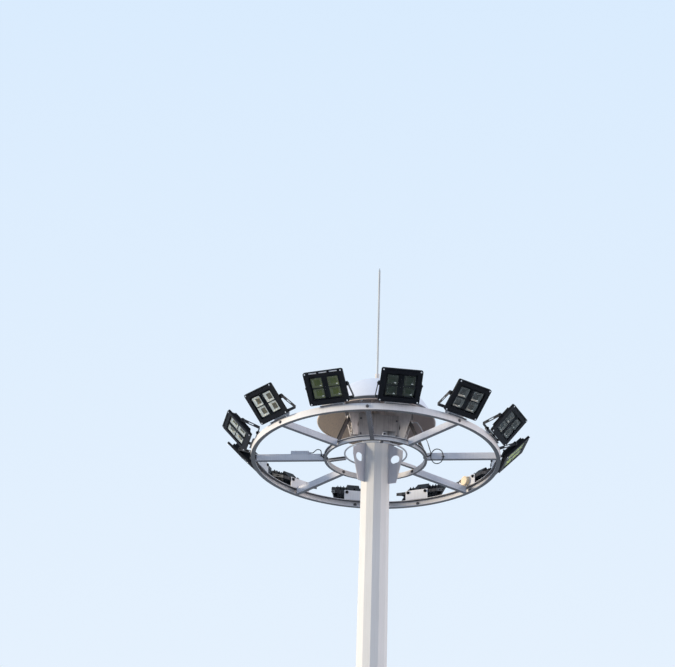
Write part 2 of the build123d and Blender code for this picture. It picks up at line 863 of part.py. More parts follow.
# Supply lead: from the gland on the right block down to a loop on the right spoke's near side,
# and from there into the mouth of the inner ring. Points are (radius, height, side) on the spoke.
lead_side = spoke_depth / 2 + lead_diameter / 2 + seat_gap
gland_turn = radians(fin_azimuths[2] - spoke_azimuths[0])
gland_end = gland_seat + lead_gland_length + seat_gap
first_bend = gland_end + lead_gland_length * 2
lead_points = [
    (gland_end * cos(gland_turn), gland_level, -gland_end * sin(gland_turn)),
    (first_bend * cos(gland_turn), gland_level, -first_bend * sin(gland_turn)),
    (440, ring_level + 290, 112),
    (505, ring_level + 165, 50),
]
for step in range(lead_loop_steps):
    loop_turn = radians(180 + 360 / lead_loop_steps * (step - 0.5))
    loop_x = lead_loop_radius + lead_loop_width / 2 * cos(loop_turn)
    loop_y = lead_loop_rise + lead_loop_height / 2 * sin(loop_turn)
    loop_side = lead_side + lead_loop_lift * (1 - step / (lead_loop_steps - 1))
    lead_points.append((loop_x, ring_level + loop_y, loop_side))
lead_points += [
    (521, ring_level + 25, lead_side),
    (484, ring_level + 25, lead_side),
]
with BuildPart() as supply_lead:
    with BuildLine(radial_plane(spoke_azimuths[0])) as lead_path:
        loop_bends = [lead_loop_bend] * lead_loop_steps
        FilletPolyline(*lead_points, radius=[lead_bend] * 3 + loop_bends + [lead_bend])
    with BuildSketch(Plane(origin=lead_path.line @ 0, z_dir=lead_path.line % 0)):
        Circle(lead_diameter / 2)
    sweep()
save(supply_lead.part, "supply_lead")

# Lead of the junction box: up and over from its gland and down beside the spoke's inner end
box_lead_start = box_inner_radius - lead_gland_length - seat_gap
with BuildPart() as box_lead:
    with BuildLine(radial_plane(box_azimuth)) as box_path:
        FilletPolyline(
            (box_lead_start, ring_top + box_gland_rise, 0),
            (610, ring_top + box_gland_rise, 0),
            (570, ring_top + 52, -12),
            (530, ring_top + 36, -lead_side),
            (525, ring_top - 40, -lead_side),
            (484, ring_top - 40, -lead_side),
            radius=(18, 30, 30, 30),
        )
    with BuildSketch(Plane(origin=box_path.line @ 0, z_dir=box_path.line % 0)):
        Circle(lead_diameter / 2)
    sweep()
save(box_lead.part, "box_lead")

# Floodlight housing, modelled at azimuth zero and then turned to each place
tilt = radians(lamp_tilt)
face_normal = (cos(tilt), 0, -sin(tilt))
face_centre = (lamp_face_radius, 0, ring_level + lamp_face_height)
face_plane = Plane(origin=face_centre, x_dir=(0, 1, 0), z_dir=face_normal)
body_front = -bezel_thickness
body_back = body_front - body_depth
with BuildPart() as floodlight_housing:
    # Bezel with three grooves along its top and a screw at each corner
    with BuildSketch(face_plane.offset(body_front)):
        RectangleRounded(lamp_width, lamp_height, lamp_corner)
    extrude(amount=bezel_thickness)
    slot_rows = lamp_height - 2 * bezel_slot_inset
    with BuildSketch(face_plane):
        with Locations((0, slot_rows / 2)):
            with GridLocations(bezel_slot_pitch, 0, 3, 1):
                Rectangle(bezel_slot_length, bezel_slot_width)
    extrude(amount=-bezel_slot_depth, mode=Mode.SUBTRACT)
    with BuildSketch(face_plane):
        screw_columns = lamp_width - 2 * bezel_screw_inset
        with GridLocations(screw_columns, slot_rows, 2, 2):
            RegularPolygon(bezel_screw_diameter / 2, 8)
    extrude(amount=bezel_screw_height)
    # Body with four tapered light modules behind the glass
    with BuildSketch(face_plane.offset(body_front)):
        RectangleRounded(body_width, body_height, body_corner)
    extrude(amount=-body_depth)
    with BuildSketch(face_plane):
        RectangleRounded(glass_width, glass_height, glass_corner)
    extrude(amount=-glass_recess, mode=Mode.SUBTRACT)
    with BuildSketch(face_plane.offset(-glass_recess)):
        with GridLocations(module_pitch_across, module_pitch_up, 2, 2):
            Rectangle(module_width, module_height)
    extrude(amount=-module_depth, taper=module_taper, mode=Mode.SUBTRACT)
    # Cooling fins and the driver's box on the back
    with BuildSketch(face_plane.offset(body_back)):
        fin_pitch = (sink_width - sink_fin_thickness) / (sink_fins - 1)
        with GridLocations(fin_pitch, 0, sink_fins, 1):
            Rectangle(sink_fin_thickness, sink_height)
    extrude(amount=-sink_depth)
    with BuildSketch(face_plane.offset(body_back)):
        Rectangle(driver_width, driver_height)
    extrude(amount=-driver_depth)
    with BuildSketch(face_plane.offset(body_back - driver_depth)):
        with Locations((0, -driver_height / 4)):
            RegularPolygon(gland_diameter / 2, 6)
    extrude(amount=-gland_length)
    # Pivot lugs and their bolts
    with BuildSketch(radial_plane(0)):
        with Locations((pivot_radius, pivot_level)):
            Circle(lug_diameter / 2)
    extrude(amount=strap_inner - pivot_gap, both=True)
    for side in (-1, 1):
        with BuildSketch(radial_plane(0, side * (strap_inner - pivot_gap))):
            with Locations((pivot_radius, pivot_level)):
                Circle(pivot_bolt / 2)
        bolt_reach = strap_thickness + 2 * pivot_gap + pivot_head_height
        extrude(amount=side * bolt_reach)
        with BuildSketch(radial_plane(0, side * (strap_end + pivot_gap))):
            with Locations((pivot_radius, pivot_level)):
                RegularPolygon(pivot_head / 2, 6)
        extrude(amount=side * pivot_head_height)

# Glass of the floodlight, set in the bezel's recess
with BuildPart() as floodlight_glass:
    with BuildSketch(face_plane.offset(-glass_recess)):
        RectangleRounded(
            glass_width - 2 * seat_gap,
            glass_height - 2 * seat_gap,
            glass_corner - seat_gap,
        )
    extrude(amount=glass_thickness)

for number, azimuth in enumerate(lamp_azimuths, start=1):
    save(floodlight_housing.part.rotate(Axis.Z, azimuth), f"floodlight_{number:02d}_housing")
    save(floodlight_glass.part.rotate(Axis.Z, azimuth), f"floodlight_{number:02d}_glass")
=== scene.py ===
from math import cos, pi, radians, sin

import bpy
from mathutils import Matrix, Vector


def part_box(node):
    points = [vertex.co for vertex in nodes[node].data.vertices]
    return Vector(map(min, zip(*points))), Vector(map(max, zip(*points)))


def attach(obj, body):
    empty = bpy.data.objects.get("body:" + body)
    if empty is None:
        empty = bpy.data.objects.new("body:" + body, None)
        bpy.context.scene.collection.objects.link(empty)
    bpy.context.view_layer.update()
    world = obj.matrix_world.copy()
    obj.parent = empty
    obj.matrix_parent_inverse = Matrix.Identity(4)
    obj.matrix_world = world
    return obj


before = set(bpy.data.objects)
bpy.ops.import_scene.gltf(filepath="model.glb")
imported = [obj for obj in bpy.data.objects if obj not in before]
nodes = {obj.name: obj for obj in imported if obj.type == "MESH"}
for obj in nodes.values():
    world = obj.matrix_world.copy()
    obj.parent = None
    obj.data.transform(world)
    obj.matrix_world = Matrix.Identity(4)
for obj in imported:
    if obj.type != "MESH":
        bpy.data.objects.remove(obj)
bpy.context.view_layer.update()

# The camera stands on the ground south of the mast and looks up at the lamp ring.
# The ring sits low and right of the middle of the frame, as in the photograph.
ring_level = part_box("outer_ring")[0].z
frame_width, frame_height = 675, 667
ring_pixel = (375.6, 460.3)
pixels_per_metre = 103.2
camera_distance = 45.0
camera_elevation = radians(23.5)
camera_turn = radians(2.7)
camera_roll = radians(1.2)

right_hand = Vector((cos(camera_turn), sin(camera_turn), 0))
towards_ring = Vector((
    -sin(camera_turn) * cos(camera_elevation),
    cos(camera_turn) * cos(camera_elevation),
    sin(camera_elevation),
))
upwards = right_hand.cross(towards_ring)
image_right = right_hand * cos(camera_roll) + upwards * sin(camera_roll)
image_up = upwards * cos(camera_roll) - right_hand * sin(camera_roll)
ring_centre = Vector((0, 0, ring_level))
aim_left = (ring_pixel[0] - frame_width / 2) / pixels_per_metre
aim_above = (ring_pixel[1] - frame_height / 2) / pixels_per_metre
camera_place = ring_centre - towards_ring * camera_distance
aim = ring_centre - image_right * aim_left + image_up * aim_above

bpy.ops.object.camera_add(location=camera_place)
camera = bpy.context.object
camera.name = "ground_camera"
sight = (aim - camera_place).normalized()
across = (image_right - sight * image_right.dot(sight)).normalized()
camera.rotation_mode = "QUATERNION"
camera.rotation_quaternion = Matrix((across, across.cross(sight), -sight)).transposed().to_quaternion()
camera.data.sensor_width = 36
camera.data.lens = camera.data.sensor_width * pixels_per_metre * camera_distance / frame_width
camera.data.clip_end = 1000
bpy.context.scene.camera = camera

# Low warm light from the left, a weak fill from the right and a pale sky.
# The sky lights the mast from above; below the horizon it is dimmer, as ground is.
bpy.context.scene.view_settings.view_transform = "Standard"


def distant_light(name, azimuth, elevation, strength, colour, spread):
    bpy.ops.object.light_add(type="SUN")
    lamp = bpy.context.object
    lamp.name = name
    turn, rise = radians(azimuth), radians(elevation)
    back = Vector((cos(turn) * cos(rise), sin(turn) * cos(rise), sin(rise)))
    lamp.rotation_mode = "QUATERNION"
    lamp.rotation_quaternion = back.to_track_quat("Z", "Y")
    lamp.data.energy = strength
    lamp.data.color = colour
    lamp.data.angle = radians(spread)


distant_light("low_sun", 195, 8, 3.6, (1.0, 0.88, 0.70), 12)
distant_light("right_fill", 352, 4, 1.9, (1.0, 0.84, 0.74), 36)

world = bpy.data.worlds.new("pale_sky")
bpy.context.scene.world = world
world.use_nodes = True
sky = world.node_tree
sky.nodes.clear()
sky_out = sky.nodes.new("ShaderNodeOutputWorld")
sky_mix = sky.nodes.new("ShaderNodeMixShader")
sky_seen = sky.nodes.new("ShaderNodeBackground")
sky_light = sky.nodes.new("ShaderNodeBackground")
sky_light.inputs["Strength"].default_value = 0.90


def seen_rays(tree):
    """1 for rays that show the backdrop, straight, in a reflection or through glass, else 0."""
    rays = tree.nodes.new("ShaderNodeLightPath")
    total = rays.outputs["Is Camera Ray"]
    for label in ("Is Glossy Ray", "Is Transmission Ray"):
        either = tree.nodes.new("ShaderNodeMath")
        either.operation = "MAXIMUM"
        tree.links.new(total, either.inputs[0])
        tree.links.new(rays.outputs[label], either.inputs[1])
        total = either.outputs[0]
    return total


direction = sky.nodes.new("ShaderNodeTexCoord")
height_part = sky.nodes.new("ShaderNodeSeparateXYZ")
horizon = sky.nodes.new("ShaderNodeMapRange")
horizon.inputs["From Min"].default_value = -0.25
horizon.inputs["From Max"].default_value = 0.25
ground_to_sky = sky.nodes.new("ShaderNodeMix")
ground_to_sky.data_type = "RGBA"
ground_to_sky.inputs["A"].default_value = (0.17, 0.19, 0.21, 1)
ground_to_sky.inputs["B"].default_value = (0.58, 0.74, 1.0, 1)
sky.links.new(direction.outputs["Generated"], height_part.inputs[0])
sky.links.new(height_part.outputs["Z"], horizon.inputs["Value"])
sky.links.new(horizon.outputs["Result"], ground_to_sky.inputs["Factor"])
sky.links.new(ground_to_sky.outputs["Result"], sky_light.inputs["Color"])
sky_fade = sky.nodes.new("ShaderNodeMapRange")
sky_fade.inputs["From Min"].default_value = 0.30
sky_fade.inputs["From Max"].default_value = 0.50
sky_tone = sky.nodes.new("ShaderNodeMix")
sky_tone.data_type = "RGBA"
sky_tone.inputs["A"].default_value = (0.82, 0.90, 0.99, 1)
sky_tone.inputs["B"].default_value = (0.69, 0.83, 0.99, 1)
sky.links.new(height_part.outputs["Z"], sky_fade.inputs["Value"])
sky.links.new(sky_fade.outputs["Result"], sky_tone.inputs["Factor"])
sky.links.new(sky_tone.outputs["Result"], sky_seen.inputs["Color"])
sky.links.new(seen_rays(sky), sky_mix.inputs[0])
sky.links.new(sky_light.outputs[0], sky_mix.inputs[1])
sky.links.new(sky_seen.outputs[0], sky_mix.inputs[2])
sky.links.new(sky_mix.outputs[0], sky_out.inputs["Surface"])

# Plain pale floor under the mast's foot, wide enough to fill the lower views.
# It keeps the mast's shadow; the tone that is seen is paler than the one that sends light back.
bpy.ops.mesh.primitive_plane_add(size=900, location=(0, 0, 0))
floor = bpy.context.object
floor.name = "pale_floor"


def new_finish(name):
    """Plain finish with its node tree and its shader."""
    finish = bpy.data.materials.new(name)
    finish.use_nodes = True
    tree = finish.node_tree
    return finish, tree, tree.nodes["Principled BSDF"]


floor_finish, floor_nodes, floor_shader = new_finish("pale_floor")
floor_shader.inputs["Roughness"].default_value = 0.9
floor_tone = floor_nodes.nodes.new("ShaderNodeMix")
floor_tone.data_type = "RGBA"
floor_tone.inputs["A"].default_value = (0.34, 0.335, 0.34, 1)
floor_tone.inputs["B"].default_value = (0.90, 0.91, 0.87, 1)
floor_nodes.links.new(seen_rays(floor_nodes), floor_tone.inputs["Factor"])
floor_nodes.links.new(floor_tone.outputs["Result"], floor_shader.inputs["Base Color"])
floor.data.materials.append(floor_finish)

# Tapered steel tubes of the mast, folded to twelve flats and welded along one edge.
# They are zinc-coated and painted a warm pale grey, with faint rain streaks.


def effect(name, inputs, outputs):
    """Empty node group for one surface effect, with its input and output ends."""
    group = bpy.data.node_groups.new(name, "ShaderNodeTree")
    for label, value in inputs:
        socket = group.interface.new_socket(label, in_out="INPUT", socket_type="NodeSocketFloat")
        socket.default_value = value
    for label in outputs:
        group.interface.new_socket(label, in_out="OUTPUT", socket_type="NodeSocketFloat")
    entry = group.nodes.new("NodeGroupInput")
    result = group.nodes.new("NodeGroupOutput")
    return group, entry, result


def patches(group, stretch, detail=4.0):
    """Noise in Object coordinates, stretched per axis, as a value from 0 to 1."""
    place = group.nodes.new("ShaderNodeTexCoord")
    fit = group.nodes.new("ShaderNodeMapping")
    fit.inputs["Scale"].default_value = stretch
    noise = group.nodes.new("ShaderNodeTexNoise")
    noise.inputs["Detail"].default_value = detail
    group.links.new(place.outputs["Object"], fit.inputs["Vector"])
    group.links.new(fit.outputs["Vector"], noise.inputs["Vector"])
    return noise


def contrast(group, value, low, high):
    """Stretches a value so that low becomes 0 and high becomes 1."""
    span = group.nodes.new("ShaderNodeMapRange")
    span.inputs["From Min"].default_value = low
    span.inputs["From Max"].default_value = high
    group.links.new(value, span.inputs["Value"])
    return span.outputs["Result"]


def product(group, first, second):
    """Two values multiplied."""
    times = group.nodes.new("ShaderNodeMath")
    times.operation = "MULTIPLY"
    group.links.new(first, times.inputs[0])
    group.links.new(second, times.inputs[1])
    return times.outputs[0]


rain_streaks, streak_in, streak_out = effect("rain_streaks", [("Amount", 0.4)], ["Mask"])
streak_noise = patches(rain_streaks, (16, 16, 0.5))
streak_mask = contrast(rain_streaks, streak_noise.outputs["Fac"], 0.48, 0.72)
rain_streaks.links.new(product(rain_streaks, streak_mask, streak_in.outputs["Amount"]), streak_out.inputs["Mask"])

mottle, mottle_in, mottle_out = effect("mottle", [("Size", 3.0), ("Amount", 0.5)], ["Mask"])
mottle_noise = patches(mottle, (1, 1, 1), 6.0)
mottle.links.new(mottle_in.outputs["Size"], mottle_noise.inputs["Scale"])
mottle_mask = contrast(mottle, mottle_noise.outputs["Fac"], 0.35, 0.7)
mottle.links.new(product(mottle, mottle_mask, mottle_in.outputs["Amount"]), mottle_out.inputs["Mask"])

# Faces that look down turn dark: painted shade under things, with some dirt.
underside, underside_in, underside_out = effect("underside_shade_and_dirt", [("Amount", 0.8)], ["Mask"])
facing = underside.nodes.new("ShaderNodeNewGeometry")
facing_axes = underside.nodes.new("ShaderNodeSeparateXYZ")
underside.links.new(facing.outputs["Normal"], facing_axes.inputs[0])
facing_down = contrast(underside, facing_axes.outputs["Z"], -0.7, -0.95)
underside.links.new(product(underside, facing_down, underside_in.outputs["Amount"]), underside_out.inputs["Mask"])

grain, grain_in, grain_out = effect("coat_grain", [("Size", 400.0)], ["Height"])
grain_noise = patches(grain, (1, 1, 1), 3.0)
grain.links.new(grain_in.outputs["Size"], grain_noise.inputs["Scale"])
grain.links.new(grain_noise.outputs["Fac"], grain_out.inputs["Height"])


def use(tree, group, **values):
    """Places an effect group in a material with its own values."""
    node = tree.nodes.new("ShaderNodeGroup")
    node.node_tree = group
    for label, value in values.items():
        node.inputs[label].default_value = value
    return node


def blend_colours(tree, mask, first, second):
    """Colour that goes from first to second with a mask; first may be a socket."""
    mix = tree.nodes.new("ShaderNodeMix")
    mix.data_type = "RGBA"
    tree.links.new(mask, mix.inputs["Factor"])
    if isinstance(first, tuple):
        mix.inputs["A"].default_value = (*first, 1)
    else:
        tree.links.new(first, mix.inputs["A"])
    mix.inputs["B"].default_value = (*second, 1)
    return mix.outputs["Result"]


def coat(name, colour, patch, streak, rough, metallic=0.0, grain_size=500.0, bump=0.15, amount=0.5,
         patch_size=3.0, streaks=0.35, shine=0.5, shade_and_dirt=None):
    """Paint or zinc: a colour with patches and rain streaks, uneven gloss and fine grain."""
    finish, tree, shader = new_finish(name)
    shader.inputs["Metallic"].default_value = metallic
    shader.inputs["Specular IOR Level"].default_value = shine
    spots = use(tree, mottle, Size=patch_size, Amount=amount)
    runs = use(tree, rain_streaks, Amount=streaks)
    base = blend_colours(tree, spots.outputs["Mask"], colour, patch)
    stained = blend_colours(tree, runs.outputs["Mask"], base, streak)
    # Faces that look down take the dark colour given: painted shade, with some dirt.
    if shade_and_dirt:
        below = use(tree, underside, Amount=0.9)
        stained = blend_colours(tree, below.outputs["Mask"], stained, shade_and_dirt)
    tree.links.new(stained, shader.inputs["Base Color"])
    gloss = tree.nodes.new("ShaderNodeMapRange")
    gloss.inputs["To Min"].default_value = rough[0]
    gloss.inputs["To Max"].default_value = rough[1]
    tree.links.new(spots.outputs["Mask"], gloss.inputs["Value"])
    tree.links.new(gloss.outputs["Result"], shader.inputs["Roughness"])
    fine = use(tree, grain, Size=grain_size)
    relief = tree.nodes.new("ShaderNodeBump")
    relief.inputs["Strength"].default_value = bump
    relief.inputs["Distance"].default_value = 0.001
    tree.links.new(fine.outputs["Height"], relief.inputs["Height"])
    tree.links.new(relief.outputs["Normal"], shader.inputs["Normal"])
    return finish


def dress(finish, *names):
    """Gives CAD nodes a finish."""
    for name in names:
        nodes[name].data.materials.clear()
        nodes[name].data.materials.append(finish)


mast_paint = coat("mast_paint", (0.73, 0.71, 0.68), (0.68, 0.66, 0.63), (0.59, 0.57, 0.53), (0.42, 0.6), shine=0.25)
dress(mast_paint, "mast_lower_section", "mast_upper_section")

# Foot of the mast: a thick flange plate and upright gussets, hot-dip galvanised in dull grey.
# Weld beads run round the tube's foot and along both sides of each gusset.
zinc = coat("galvanised_steel", (0.60, 0.61, 0.62), (0.46, 0.47, 0.49), (0.36, 0.35, 0.33), (0.42, 0.62),
            metallic=0.35, grain_size=160.0, bump=0.2, amount=0.8, patch_size=26.0)
dress(zinc, "base_flange", "base_gussets")


def settle(piece):
    """Leaves edit mode and puts the place, turn and size of a piece into its mesh."""
    if bpy.context.mode != "OBJECT":
        bpy.ops.object.mode_set(mode="OBJECT")
    bpy.ops.object.select_all(action="DESELECT")
    piece.select_set(True)
    bpy.context.view_layer.objects.active = piece
    bpy.ops.object.transform_apply(location=True, rotation=True, scale=True)


def copies(model, name, places, body, finish):
    """One copy of a small model at each place, joined as one piece that rides on a body."""
    bpy.ops.object.select_all(action="DESELECT")
    twins = []
    for place in places:
        twin = model.copy()
        twin.data = model.data.copy()
        twin.data.transform(place)
        bpy.context.collection.objects.link(twin)
        twin.select_set(True)
        twins.append(twin)
    bpy.context.view_layer.objects.active = twins[0]
    if len(twins) > 1:
        bpy.ops.object.join()
    piece = bpy.context.object
    piece.name = name
    piece.data.name = name
    piece.data.materials.clear()
    piece.data.materials.append(finish)
    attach(piece, body)


def forget(model):
    """Takes a model away once its copies are made."""
    bpy.data.objects.remove(model)


def outward_at(azimuth):
    """Level direction away from the mast's axis."""
    return Vector((cos(azimuth), sin(azimuth), 0))


def along_at(azimuth):
    """Level direction along the ring, a quarter turn on from outward."""
    return Vector((-sin(azimuth), cos(azimuth), 0))


def round_mast(azimuth, radius, level, aside=0.0):
    """Point at an azimuth, a radius and a height, shifted aside along the ring."""
    return outward_at(azimuth) * radius + along_at(azimuth) * aside + Vector((0, 0, level))


# A short weld bead, six-sided and fuller in the middle; a seam is a row of them
bpy.ops.object.select_all(action="DESELECT")
bead_length, bead_radius, bead_swell = 0.020, 0.0034, 1.3
bpy.ops.mesh.primitive_cylinder_add(vertices=6, radius=bead_radius, depth=bead_length)
bead = bpy.context.object
bpy.ops.object.mode_set(mode="EDIT")
bpy.ops.mesh.select_all(action="SELECT")
bpy.ops.mesh.bisect(plane_co=(0, 0, 0), plane_no=(0, 0, 1))
bpy.ops.transform.resize(value=(bead_swell, bead_swell, 1))
settle(bead)
bpy.ops.object.shade_smooth()


def seam(start, end):
    """Places of weld beads laid end to end along a line."""
    run = end - start
    turn = run.to_track_quat("Z", "Y").to_matrix().to_4x4()
    count = max(1, round(run.length / bead_length))
    places = []
    for step in range(count):
        place = turn.copy()
        place.translation = start + run * ((step + 0.5) / count)
        places.append(place)
    return places


# Width across the flats at the foot, its loss per metre, and the upper tube's gain over the lower
foot_width, taper, upper_sleeve = 0.445, 0.0096, 0.0086


def tube_half_width(level, sleeve):
    """Distance from the mast's axis to a flat at a height, on the lower or the upper tube."""
    return (foot_width - taper * level + sleeve) / 2


flange_top, gusset_side, gusset_end = 0.030, 0.0065, 0.367
foot_radius = tube_half_width(flange_top, 0)
half_flat = foot_radius * sin(pi / 12) / cos(pi / 12)
foot_beads = []
for azimuth in (radians(12 + 30 * step) for step in range(12)):
    foot_beads += seam(round_mast(azimuth, foot_radius, flange_top, -half_flat),
                       round_mast(azimuth, foot_radius, flange_top, half_flat))
    for side in (-gusset_side, gusset_side):
        foot_beads += seam(round_mast(azimuth, foot_radius, flange_top, side),
                           round_mast(azimuth, gusset_end, flange_top, side))
copies(bead, "foot_welds", foot_beads, "mast", zinc)

# Door of the winch compartment: a sheet steel leaf in a welded frame, painted with the mast.
# Two locks with three-sided steel key bosses hold it against its stop.
door_paint = coat("door_paint", (0.66, 0.65, 0.64), (0.57, 0.57, 0.57), (0.45, 0.43, 0.40), (0.35, 0.5), streaks=0.6)
dress(door_paint, "door_frame", "door_stop", "door_leaf")
pin_steel = coat("pin_steel", (0.62, 0.62, 0.63), (0.5, 0.5, 0.52), (0.4, 0.38, 0.36), (0.25, 0.4), metallic=0.9)


def pick_faces(piece, wanted):
    """Selects in edit mode the faces whose centre and normal pass a test, and no others."""
    bpy.ops.object.mode_set(mode="EDIT")
    bpy.ops.mesh.select_mode(type="FACE")
    bpy.ops.mesh.select_all(action="DESELECT")
    bpy.ops.object.mode_set(mode="OBJECT")
    for face in piece.data.polygons:
        face.select = wanted(face.center, face.normal)
    bpy.ops.object.mode_set(mode="EDIT")


def stand(point, outward):
    """Place of a small model that stands on a surface at a point, facing outward."""
    place = outward.to_track_quat("Z", "Y").to_matrix().to_4x4()
    place.translation = point
    return place


bpy.ops.object.select_all(action="DESELECT")
bpy.ops.mesh.primitive_cylinder_add(vertices=3, radius=0.009, depth=0.006, location=(0, 0, 0.0028))
key_boss = bpy.context.object
pick_faces(key_boss, lambda centre, normal: normal.z > 0.5)
bpy.ops.mesh.bevel(offset=0.0009, segments=2)
settle(key_boss)
door_azimuth, lock_face, lock_levels = radians(282), 0.22622, (0.7453, 1.4547)
lock_places = [
    stand(round_mast(door_azimuth, lock_face, level), outward_at(door_azimuth))
    for level in lock_levels
]
copies(key_boss, "door_lock_sockets", lock_places, "mast", pin_steel)
forget(key_boss)

# Centring fins, laser-cut plate painted with the mast and gone a little duller.
# Each is welded to a flat of the upper tube along both its sides.
fin_paint = coat("fin_paint", (0.60, 0.58, 0.60), (0.56, 0.54, 0.56), (0.46, 0.44, 0.46), (0.45, 0.6), shine=0.25)
dress(fin_paint, "centring_fins")
hanger_azimuths = [radians(102 + 120 * step) for step in range(3)]
fin_top, fin_foot, fin_side = ring_level + 0.153, ring_level - 0.263, 0.0045
fin_beads = []
for azimuth in hanger_azimuths:
    for side in (-fin_side, fin_side):
        top = round_mast(azimuth, tube_half_width(fin_top, upper_sleeve), fin_top, side)
        foot = round_mast(azimuth, tube_half_width(fin_foot, upper_sleeve), fin_foot, side)
        fin_beads += seam(foot, top)
copies(bead, "fin_welds", fin_beads, "mast", fin_paint)

# Head of the mast under the hood: plate, brackets, post, panels and toothed latches in stained
# zinc, with iron pulleys on steel pins. Four small bolts hold each panel, and a nut holds
# each pin at both ends.
head_zinc = coat("head_steel", (0.64, 0.60, 0.58), (0.50, 0.47, 0.45), (0.39, 0.35, 0.32), (0.4, 0.6),
                 metallic=0.25, grain_size=160.0, bump=0.2, amount=0.7, patch_size=18.0)
dress(head_zinc, "head_plate", "head_brackets", "head_post")
latch_zinc = coat("latch_zinc", (0.84, 0.77, 0.70), (0.70, 0.62, 0.55), (0.48, 0.40, 0.34), (0.4, 0.6),
                  metallic=0.1, grain_size=160.0, bump=0.2, amount=0.6, patch_size=24.0)
dress(latch_zinc, "latch_plates")
panel_zinc = coat("panel_zinc", (0.43, 0.40, 0.38), (0.31, 0.29, 0.27), (0.19, 0.17, 0.16), (0.45, 0.65),
                  grain_size=160.0, bump=0.2, amount=0.8, patch_size=12.0, streaks=0.6, shine=0.3)
dress(panel_zinc, "head_panels")
pulley_grey = coat("pulley_iron", (0.30, 0.30, 0.31), (0.20, 0.20, 0.21), (0.16, 0.13, 0.11), (0.35, 0.55),
                    metallic=0.6)
dress(pulley_grey, "head_pulleys")
dress(pin_steel, "pulley_pins")

# A hexagon bolt head on its washer, zinc-coated and gone dark with weather
bpy.ops.object.select_all(action="DESELECT")
washer_radius, washer_height = 0.016, 0.003
head_width, head_height = 0.024, 0.010
bpy.ops.mesh.primitive_cylinder_add(vertices=16, radius=washer_radius, depth=washer_height,
                                    location=(0, 0, washer_height / 2))
bolt = bpy.context.object
bpy.ops.object.mode_set(mode="EDIT")
bpy.ops.mesh.primitive_cylinder_add(vertices=6, radius=head_width / 2 / cos(pi / 6), depth=head_height,
                                    location=(0, 0, washer_height + head_height / 2))
pick_faces(bolt, lambda centre, normal: normal.z > 0.5 and centre.z > head_height / 2)
bpy.ops.mesh.bevel(offset=0.0015, segments=1)
settle(bolt)
bolt_finish = coat("weathered_bolt", (0.10, 0.10, 0.11), (0.06, 0.06, 0.065), (0.09, 0.06, 0.045), (0.4, 0.6),
                   metallic=0.5, patch_size=40.0)
panel_azimuths = [radians(42 + 120 * step) for step in range(3)]
panel_face, panel_bolt_aside, panel_bolt_levels = 0.150, 0.176, (0.205, 0.365)
small, large = (Matrix.Diagonal((size, size, size, 1)) for size in (0.6, 1.3))
panel_bolts = []
for azimuth in panel_azimuths:
    for aside in (-panel_bolt_aside, panel_bolt_aside):
        for level in panel_bolt_levels:
            place = stand(round_mast(azimuth, panel_face, ring_level + level, aside), outward_at(azimuth))
            panel_bolts.append(place @ small)
copies(bolt, "panel_bolts", panel_bolts, "mast", bolt_finish)
pulley_radius, pulley_level, bracket_face = 0.215, 20.150, 0.030
pin_nuts = []
for azimuth in hanger_azimuths:
    for side in (-1, 1):
        place = stand(round_mast(azimuth, pulley_radius, pulley_level, side * bracket_face), along_at(azimuth) * side)
        pin_nuts.append(place @ large)
copies(bolt, "pin_nuts", pin_nuts, "mast", pin_steel)

# Domed hood, spun sheet: pale cool white outside, with a band of painted shade just above the rim,
# and a warm undercoat inside, painted lighter towards −x and darker towards +x as light and shade.
# The lightning rod's socket stands on it, bolted through its foot at four corners.
hood_finish, hood_tree, hood_shader = new_finish("hood_paint")
hood_spots = use(hood_tree, mottle, Size=4.0, Amount=0.6)
hood_runs = use(hood_tree, rain_streaks, Amount=0.3)
hood_facing = hood_tree.nodes.new("ShaderNodeNewGeometry")
hood_axes = hood_tree.nodes.new("ShaderNodeSeparateXYZ")
hood_tree.links.new(hood_facing.outputs["Normal"], hood_axes.inputs[0])
hood_below = contrast(hood_tree, hood_axes.outputs["Z"], 0.02, -0.02)
hood_place = hood_tree.nodes.new("ShaderNodeTexCoord")
hood_spot = hood_tree.nodes.new("ShaderNodeSeparateXYZ")
hood_tree.links.new(hood_place.outputs["Object"], hood_spot.inputs[0])
hood_rim_level, hood_rim_shade_height = ring_level + 0.400, 0.050
hood_outer = blend_colours(hood_tree, hood_spots.outputs["Mask"], (0.72, 0.74, 0.79), (0.66, 0.67, 0.73))
hood_outer = blend_colours(hood_tree, hood_runs.outputs["Mask"], hood_outer, (0.60, 0.60, 0.64))
# A band on the outside just above the rim turns near-black: painted shade on the hood's skirt.
hood_rim_shade = contrast(hood_tree, hood_spot.outputs["Z"], hood_rim_level + hood_rim_shade_height,
                      hood_rim_level + hood_rim_shade_height - 0.012)
hood_outer = blend_colours(hood_tree, hood_rim_shade, hood_outer, (0.030, 0.028, 0.032))
# Inside, the undercoat goes from light towards −x to dark towards +x: painted light and shade.
hood_lit_side = contrast(hood_tree, hood_spot.outputs["X"], -0.45, 0.10)
hood_inner = blend_colours(hood_tree, hood_lit_side, (0.88, 0.70, 0.52), (0.42, 0.345, 0.315))
hood_inner = blend_colours(hood_tree, hood_runs.outputs["Mask"], hood_inner, (0.36, 0.28, 0.24))
hood_both = hood_tree.nodes.new("ShaderNodeMix")
hood_both.data_type = "RGBA"
hood_tree.links.new(hood_below, hood_both.inputs["Factor"])
hood_tree.links.new(hood_outer, hood_both.inputs["A"])
hood_tree.links.new(hood_inner, hood_both.inputs["B"])
hood_tree.links.new(hood_both.outputs["Result"], hood_shader.inputs["Base Color"])
hood_shader.inputs["Roughness"].default_value = 0.5
dress(hood_finish, "hood")
dress(head_zinc, "rod_socket")
socket_level, socket_circle = 20.393, 0.055
medium = Matrix.Diagonal((0.75, 0.75, 0.75, 1))
socket_bolts = [
    stand(round_mast(radians(45 + 90 * step), socket_circle, socket_level), Vector((0, 0, 1))) @ medium
    for step in range(4)
]
copies(bolt, "rod_socket_bolts", socket_bolts, "mast", head_zinc)

